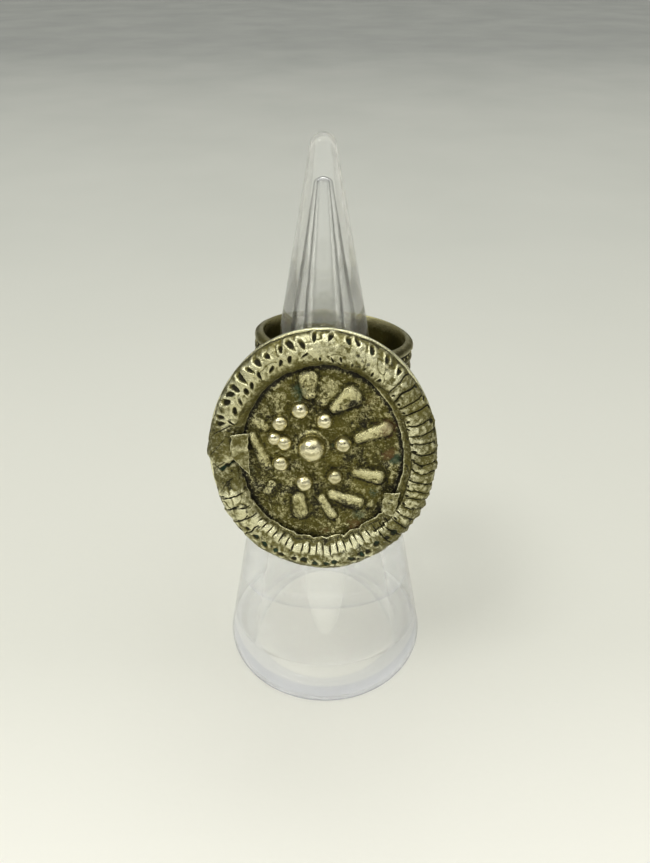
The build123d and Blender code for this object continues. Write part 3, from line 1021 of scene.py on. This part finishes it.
def make_corner(name):
    """A torn corner of the foil: a thin rough patch between four corners."""
    seed, count = CORNER_SEEDS[name], CORNER_POINTS
    a, b, c, d = np.array(CORNERS[name]) * (OVAL_HALF_WIDTH, OVAL_HALF_HEIGHT, 1.0)
    u, v = np.meshgrid(np.linspace(0, 1, count), np.linspace(0, 1, count))
    edge = np.minimum(np.minimum(u, 1 - u), np.minimum(v, 1 - v))
    bulge = 0.10 * np.sin(np.pi * u)
    u, v = u[..., None], v[..., None]
    sheet = a * (1 - u) * (1 - v) + b * u * (1 - v) + c * u * v + d * (1 - u) * v
    x, y = sheet[..., 0], sheet[..., 1]
    uneven = 0.11 * rough(x, y, 0.75, seed) + 0.03 * ripple(x, y, 0.2, seed + 3)
    x += 0.12 * ripple(y, x, 0.5, seed + 5)
    y += 0.10 * ripple(x, y, 0.5, seed + 6)
    sheet[..., 2] += uneven + bulge
    back = sheet.copy()
    back[..., 2] -= 0.26 * fade(edge, -0.06, 0.10) + 0.02
    total = count * count
    loop, ahead = grid_border(count, count)
    rear_faces = grid_faces(count, count)
    side_faces = np.stack([ahead + total, loop + total, loop, ahead], -1)
    faces = np.concatenate([rear_faces[:, ::-1], rear_faces + total, side_faces])
    mesh = new_mesh(name, np.concatenate([sheet, back]), faces, MEDALLION)
    wear = 0.42 + 0.9 * bump(edge, 0.0, 0.020) + 2.4 * uneven
    dirt = 0.5 * fade(rough(x, y, 0.6, seed + 9), 0.3, 0.9) * (1 - bump(edge, 0.0, 0.05))
    age_sheet(mesh, (wear, dirt, dirt * 0.5, 0 * wear), (0.1, 0.8, 0.2, 0.0))
    new_piece(name, mesh, FOIL_SILVER)


# field with its petals and balls

LIP_INSET = ROLL_RADIUS * (1 - math.cos(math.radians(LIP_ANGLE)))
OPEN_WIDTH = OVAL_HALF_WIDTH - LIP_INSET
OPEN_HEIGHT = OVAL_HALF_HEIGHT - LIP_INSET
FIELD_FRONT = PIECE_GAP + FIELD_THICK


def rosette_place(angle, reach):
    """Place on the field from an angle and a distance round the dome."""
    x = (reach * math.cos(math.radians(angle)) - DOME_LEFT) * OPEN_WIDTH
    return x, (reach * math.sin(math.radians(angle)) + DOME_ABOVE) * OPEN_HEIGHT * RELIEF_HEIGHT_SHARE


def field_grid():
    """Points of the field: a square grid pressed into the oval."""
    inset = LIP_INSET - FIELD_UNDER_ROLL
    half_x, half_y = OVAL_HALF_WIDTH - inset, OVAL_HALF_HEIGHT - inset
    u, v = np.meshgrid(np.linspace(-1, 1, FIELD_COLUMNS), np.linspace(-1, 1, FIELD_ROWS))
    x = u * np.sqrt(1 - v * v / 2)
    y = v * np.sqrt(1 - u * u / 2)
    return x * half_x * 0.995, y * half_y * 0.995


def spotted(x, y, spots):
    """Strength of the nearest of some round spots."""
    strength = 0 * x
    for spot_x, spot_y, size, most in spots:
        strength = np.maximum(strength, most * bump(np.hypot(x - spot_x, y - spot_y), 0, size))
    return strength


class FieldRelief(Relief):
    """The field's uneven sheet, with what is raised on it."""

    def __init__(self):
        super().__init__(*field_grid())
        self.grit = self.rough(0.55, 77)
        self.height = 0.13 * self.rough(2.2, 71) + 0.075 * self.grit
        self.dirt = 0.33 + 0.26 * self.rough(1.6, 73)
        self.wear = 0.22 + 0.10 * self.rough(1.2, 75) + 0.10 * self.rough(0.35, 78)

    def collar(self):
        """A low collar round the dome, higher above it than below."""
        x, y = rosette_place(DOME.angle, DOME.reach)
        away = np.hypot(self.u - x, self.v - y)
        above = self.v - y
        self.height += 0.14 * bump(away, DOME_RADIUS + 0.36, 0.30) * (0.35 + 0.65 * fade(above, -0.6, 0.8))
        self.wear += 0.08 * bump(away, DOME_RADIUS + 0.42, 0.20) * fade(above, -0.2, 0.8)

    def solder(self, ball):
        """A little solder round a ball, and a dark ring round it: dirt at its foot, heaviest below the ball
        as painted shadow.
        """
        x, y = rosette_place(ball.angle, ball.reach)
        radius = GRANULE_RADIUS * ball.size
        near = np.hypot(self.u - x, self.v - y) / radius + 0.05 * self.grit
        # painted shadow: the dark ring grows heavier towards the side below the ball
        below = 0.5 - 0.5 * (self.v - y) / radius
        self.height += 0.14 * (1 - fade(near, 0.75, 1.45))
        self.soil_and_shade(0.50 * bump(near, 1.22, 0.16) * below.clip(0.2, 1))

    def petal(self, petal):
        """One raised petal: rubbed on top, with a painted highlight on its upper side, painted shade on its
        lower side, and a dark ring round its foot that is dirt all round and painted shadow below.
        """
        x, y, hard = self.u, self.v, petal.hard
        x0, y0 = rosette_place(petal.near_angle, petal.near + petal.narrow / 2)
        x1, y1 = rosette_place(petal.far_angle, petal.far - petal.wide / 2)
        reach = math.hypot(x1 - x0, y1 - y0)
        ex, ey = (x1 - x0) / reach, (y1 - y0) / reach
        t = ((x - x0) * ex + (y - y0) * ey) / reach
        on_line = np.clip(t, 0, 1)
        radius = (petal.narrow + (petal.wide - petal.narrow) * on_line) / 2 * OPEN_WIDTH
        dx, dy = x - (x0 + on_line * reach * ex), y - (y0 + on_line * reach * ey)
        # the ends are between round and square
        ahead, aside = np.abs(t - on_line) * reach, np.abs(dx * ey - dy * ex)
        distance = (ahead ** 2.3 + aside ** 2.3) ** (1 / 2.3) / radius
        distance = distance + 0.06 * self.ripple(0.7, 83) + 0.03 * self.ripple(0.25, 84)
        body = np.sqrt(np.clip(1 - np.clip(distance, 0, 1) ** 2.1, 0, 1)) * hard
        body = body + (1 - hard) * (1 - fade(distance, 0.0, 1.15))
        lifted = np.sign(petal.ridge) * (dy * ex - dx * ey) / radius
        crown = abs(petal.ridge) * bump(lifted, 0.62, 0.26) * (distance < 1.05)
        raised = (petal.high + crown + 0.045 * self.rough(0.9, 85)) * body
        self.height = np.maximum(self.height, raised + 0.30 * self.height)
        top = 1 - fade(distance, 0.70, 1.05)
        # painted light: the upper side gets a painted highlight in the wear and is cleared of dirt, the lower
        # side gets painted shade in the dirt
        upward = (dy / radius).clip(-1, 1)
        rubbed = petal.worn * (0.80 + 0.30 * self.rough(0.50, 87)) + 5.0 * crown - 0.06
        self.wear = np.maximum(self.wear, (rubbed + 0.62 * upward * hard) * top)
        self.soil_and_shade(0.62 * fade(-upward, 0.15, 0.95) * top * hard)
        # dark ring round the foot: dirt all round, heaviest below as painted shadow
        self.soil_and_shade(0.75 * bump(distance, 1.12, 0.20) * hard * (0.5 - 0.5 * upward).clip(0.1, 1))
        painted_lit_side = fade(upward, -0.3, 0.2) * (1 - fade(distance, 0.72, 1.0)) * (0.3 + 0.7 * hard)
        self.dirt = self.dirt * (1 - 0.7 * painted_lit_side)

    def finish(self):
        """Rubs what stands up, soils what lies low, darkens the field's edge under the rim, and adds the
        green.
        """
        proud = self.proud(4)
        self.wear = self.wear + 0.28 * proud.clip(-1, 1.3)
        self.soil_and_shade(0.5 * fade(-proud, 0.3, 1.2))
        # darker towards the field's edge under the rim's lip
        self.soil_and_shade(0.9 * fade(np.hypot(self.u / OPEN_WIDTH, self.v / OPEN_HEIGHT), 0.88, 1.0))
        self.green = 0.40 * fade(self.rough(1.5, 91), 0.5, 1.3) * (1 - self.wear)
        self.stain(spotted(self.u, self.v, GREEN_SPOTS))


def make_field():
    """The field as a closed sheet: its relief in front, a skirt down its edge and a flat back."""
    relief = FieldRelief()
    relief.collar()
    for ball in [DOME] + GRANULES:
        relief.solder(ball)
    for petal in PETALS:
        relief.petal(petal)
    relief.finish()
    top = np.clip(FIELD_FRONT + relief.height, FIELD_FRONT - 0.30, FIELD_FRONT + 1.2)
    front = np.stack([relief.u, relief.v, top], -1).reshape(-1, 3)
    loop, ahead = grid_border(FIELD_ROWS, FIELD_COLUMNS)
    below = front[loop] * (1, 1, 0) + (0, 0, PIECE_GAP)
    below_loop = np.arange(len(loop)) + len(front)
    below_ahead = np.roll(below_loop, -1)
    middle = len(front) + len(loop)
    skirt = np.stack([loop, below_loop, below_ahead, ahead], -1)
    back = [(first, middle, second) for first, second in zip(below_loop.tolist(), below_ahead.tolist())]
    faces = grid_faces(FIELD_ROWS, FIELD_COLUMNS).tolist() + skirt.tolist() + back
    mesh = new_mesh("rosette_field", np.vstack([front, below, [(0, 0, PIECE_GAP)]]), faces, MEDALLION)
    red = spotted(relief.u, relief.v, RUSTY_SPOTS)
    age_sheet(mesh, (relief.wear, relief.dirt, relief.green, red), (0.0, 0.9, 0.0, 0.0))
    new_piece("rosette_field", mesh, FIELD_SILVER, "medallion_field")


def make_balls():
    """The dome and the granules."""
    places, sizes = [], []
    for ball in [DOME] + GRANULES:
        x, y = rosette_place(ball.angle, ball.reach)
        radius = GRANULE_RADIUS * ball.size
        places.append((x, y, FIELD_FRONT + 0.32 * radius))
        sizes.append(radius * 1.12)
    start = bpy.data.meshes.new("ball places")
    start.from_pydata(places, [], [])
    layer = start.attributes.new("size", "FLOAT", "POINT")
    layer.data.foreach_set("value", sizes)
    mesh = grown("balls", start, BALLS, {"Dent": 0.12, "Material": BALL_SILVER}, MEDALLION)
    back = np.array((Matrix.Scale(MM, 4) @ MEDALLION).inverted())
    x, y, z = (points_of(mesh) @ back[:3, :3].T + back[:3, 3]).T
    high = z - FIELD_FRONT
    wear = 0.42 + 0.42 * fade(high, 0.10, 0.90) + 0.22 * ripple(x, y, 0.5, 95)
    dirt = 0.60 * (1 - fade(high, -0.10, 0.12))
    age(mesh, wear, dirt, dirt * 0.2)
    new_piece("balls", mesh, BALL_SILVER)


# band and back plate


def make_band():
    """The band with its two stepped borders, a little dented outside."""
    section = [(BORE_RADIUS + BORDER_THICK * out, BORDER_HEIGHT * down) for down, out in BORDER_SECTION]
    upper = [(radius, BAND_HEIGHT - depth) for radius, depth in section]
    lower = [(radius, depth) for radius, depth in reversed(section)]
    bore = [(BORE_RADIUS, height) for height in np.linspace(0.15, BAND_HEIGHT - 0.15, 12)]
    start = outline_mesh("band section", bore + upper + lower, True)
    mesh = grown("band", start, TURNING, {"Segments": BAND_SEGMENTS, "Material": BAND_SILVER})
    age_band(mesh)
    mesh.transform(Matrix.Scale(MM, 4) @ RING @ Matrix.Scale(1 / MM, 4))
    mesh.update()
    new_piece("band", mesh, BAND_SILVER, "shank_with_back_plate")


def age_band(mesh):
    """Dents, wear and dirt on the upright band."""
    spots = points_of(mesh) / MM
    height = spots[:, 2]
    radius = np.hypot(spots[:, 0], spots[:, 1])
    turn = np.arctan2(spots[:, 1], spots[:, 0]) * BORE_RADIUS
    around = math.tau * BORE_RADIUS
    outside = fade(radius, BORE_RADIUS + 0.3, BORE_RADIUS + 0.5)
    dent = 0.05 * rough(turn, height, 3.0, 101, around) + 0.015 * rough(turn, height, 0.8, 105, around)
    edge = np.minimum(height, BAND_HEIGHT - height)
    in_row = sum(bump(edge / BORDER_HEIGHT, row, 0.10) for row in STUD_ROWS)
    dirt = np.clip(outside * in_row * fade(BORDER_THICK + BORE_RADIUS - radius, 0.12, 0.28), 0, 1)
    raised = fade(radius, BORE_RADIUS + 0.97, BORE_RADIUS + 1.10)
    wear = np.clip(0.06 + 0.50 * raised + 0.18 * rough(turn, height, 2.0, 111, around), 0, 1)
    wear = np.maximum(wear, 0.62 * (1 - fade(edge, 0.05, 0.25)) * (radius < BORE_RADIUS + 0.5))
    wear = np.where(radius < BORE_RADIUS + 0.05, 0.10 + 0.9 * (1 - fade(edge, 0.15, 0.40)), wear)
    age(mesh, wear, dirt, 0.35 * dirt * (ripple(turn, height, 4.0, 113, around) > 0.4))
    spots[:, :2] *= (1 + dent * outside / radius)[:, None]
    mesh.vertices.foreach_set("co", (spots * MM).ravel())


def make_studs():
    """Two rows of small diamonds sunk in each border of the band."""
    half = STUD_HALF
    points = [(0, half, 0), (0, 0, half), (0, -half, 0), (0, 0, -half)]
    points += [(STUD_PROUD, 0, 0), (-STUD_ROOT, 0, 0)]
    faces = [(0, 1, 4), (1, 2, 4), (2, 3, 4), (3, 0, 4), (1, 0, 5), (2, 1, 5), (3, 2, 5), (0, 3, 5)]
    stud = bpy.data.meshes.new("stud")
    stud.from_pydata(points, [], faces)
    rings = []
    for row, share in enumerate(STUD_ROWS):
        for height in (BORDER_HEIGHT * share, BAND_HEIGHT - BORDER_HEIGHT * share):
            values = {
                "Count": STUD_COUNT, "Radius": BORE_RADIUS + BORDER_THICK * STUD_BASE_SHARE,
                "Height": height, "Turn": row * math.pi / STUD_COUNT, "Material": BAND_SILVER,
            }
            rings.append(grown("studs", stud, STUD_RING, values, RING))
    mesh = join_meshes("band_studs", rings)
    age(mesh, 0.7, 0.1)
    new_piece("band_studs", mesh, BAND_SILVER)


def make_back_plate():
    """The oval back plate with a soft edge: rings of points from the middle of its back to its front."""
    oval = Oval(PLATE_COLUMNS, 0.0)
    rings = [
        (4.0, -PLATE_THICK), (0.14, -PLATE_THICK), (0.03, -PLATE_THICK + 0.04),
        (-PLATE_MARGIN, -PLATE_THICK + 0.14), (-PLATE_MARGIN, -0.14), (0.0, -0.03), (0.12, 0.0), (4.0, 0.0),
    ]
    points = [np.insert(oval.edge(inset), 2, up, axis=1) for inset, up in rings]
    points = np.vstack(points + [[(0, 0, 0), (0, 0, -PLATE_THICK)]])
    front, back = len(points) - 2, len(points) - 1
    last = (len(rings) - 1) * PLATE_COLUMNS
    faces = grid_faces(len(rings), PLATE_COLUMNS, False, True).tolist()
    for step in range(PLATE_COLUMNS):
        ahead = (step + 1) % PLATE_COLUMNS
        faces.append([last + step, last + ahead, front])
        faces.append([ahead, step, back])
    mesh = new_mesh("back_plate", points, faces, MEDALLION)
    age(mesh, 0.95)
    new_piece("back_plate", mesh, FOIL_SILVER)


make_cone()
make_band()
make_studs()
make_back_plate()
make_field()
make_balls()
make_rim()
for name in CORNERS:
    make_corner(name)


# floor, light and camera

PHOTO_HEIGHT = 863
FOCUS_PIXELS = 700.0
SENSOR_HEIGHT = 24.0
# camera's place in mm, and its angles in degrees: down from level, turned left, rolled
CAMERA_PLACE = (-0.200, -76.773, 93.601)
CAMERA_DOWN, CAMERA_TURN, CAMERA_ROLL = 35.616, -0.209, -0.21
FLOOR_HALF = 6000.0
FLOOR_BELOW = 0.02

# the room's light from straight below to straight above
ROOM_STOPS = [
    (0.0, colour(0.70, 0.70, 0.68)), (0.50, colour(0.70, 0.70, 0.68)), (0.62, colour(0.72, 0.72, 0.70)),
    (0.82, colour(0.90, 0.90, 0.88)), (0.93, colour(2.7, 2.7, 2.60)), (1.0, colour(3.2, 3.2, 3.10)),
]
WINDOW_LIGHT = colour(3.0, 3.0, 2.9)
DARK_PATCH = colour(0.030, 0.030, 0.026)
# lamps: place in m, sides of the lamp in m, watts, colour
LAMPS = {
    "window": ((-0.35, -0.25, 0.75), (0.25, 0.25), 1.1, (1.0, 0.99, 0.96)),
    "ceiling": ((0.15, 0.35, 1.0), (0.6, 0.4), 0.7, (1.0, 1.0, 0.98)),
}
LAMPS_AIM = (0, 0, 0.03)


def make_camera():
    """The camera at the photograph's angle to the stand."""
    down, turn, roll = (math.radians(angle) for angle in (CAMERA_DOWN, CAMERA_TURN, CAMERA_ROLL))
    facing = Matrix.Rotation(turn, 3, "Z")
    ahead = facing @ Vector((0, math.cos(down), -math.sin(down)))
    right = facing @ Vector((1, 0, 0))
    up = right.cross(ahead)
    right, up = right * math.cos(roll) + up * math.sin(roll), up * math.cos(roll) - right * math.sin(roll)
    data = bpy.data.cameras.new("camera")
    data.sensor_fit = "VERTICAL"
    data.sensor_height = SENSOR_HEIGHT
    data.lens = FOCUS_PIXELS * SENSOR_HEIGHT / PHOTO_HEIGHT
    data.clip_start = 0.005
    data.clip_end = 50.0
    camera = bpy.data.objects.new("camera", data)
    turned = Matrix((right, up, -ahead)).transposed().to_4x4()
    camera.matrix_world = Matrix.Translation(Vector(CAMERA_PLACE) * MM) @ turned
    bpy.context.scene.collection.objects.link(camera)
    bpy.context.scene.camera = camera


def make_floor():
    """The flat cloth, just below the cone's foot."""
    corners = ((-1, -1), (1, -1), (1, 1), (-1, 1))
    points = [(x * FLOOR_HALF, y * FLOOR_HALF, -FLOOR_BELOW) for x, y in corners]
    mesh = new_mesh("cloth", points, [(0, 1, 2, 3)])
    mesh.materials.append(pale_cloth())
    floor = bpy.data.objects.new("cloth", mesh)
    bpy.context.scene.collection.objects.link(floor)


def soft_light(name, place, sides, watts, tint):
    """A flat lamp that shines on the ring."""
    data = bpy.data.lights.new(name, "AREA")
    data.shape = "RECTANGLE"
    data.size, data.size_y = sides
    data.energy = watts
    data.color = tint
    lamp = bpy.data.objects.new(name, data)
    lamp.location = place
    lamp.rotation_euler = (Vector(LAMPS_AIM) - Vector(place)).to_track_quat("-Z", "Y").to_euler()
    bpy.context.scene.collection.objects.link(lamp)


def make_room():
    """Soft room light: bright above and low in front, with a dark patch high in front."""
    world = bpy.data.worlds.new("room")
    bpy.context.scene.world = world
    world.use_nodes = True
    world.node_tree.nodes.clear()
    bench = Bench(world.node_tree)
    side, ahead, height = bench.axes(bench.put("ShaderNodeTexCoord", out="Generated"))
    front = ahead * -1.0
    window = front.from_to(0.35, 0.75) * height.from_to(-0.04, 0.06)
    window = window * (1 - height.from_to(0.36, 0.50))
    dark = front.from_to(0.20, 0.40) * (1 - (side * side).from_to(0.20, 0.50))
    dark = dark * height.from_to(0.42, 0.54) * (1 - height.from_to(0.72, 0.84))
    shade = bench.put("ShaderNodeValToRGB", {"stops": ROOM_STOPS}, {0: height * 0.5 + 0.5})
    shade = bench.blend(window * 0.9, shade, WINDOW_LIGHT)
    shade = bench.blend(dark * 0.96, shade, DARK_PATCH)
    light = bench.put("ShaderNodeBackground", {}, {"Color": shade, "Strength": 0.44})
    bench.put("ShaderNodeOutputWorld", {}, {"Surface": light})


make_camera()
make_floor()
make_room()
for name, lamp in LAMPS.items():
    soft_light(name, *lamp)
bpy.context.scene.view_settings.view_transform = "Standard"
bpy.context.scene.view_settings.look = "Medium High Contrast"
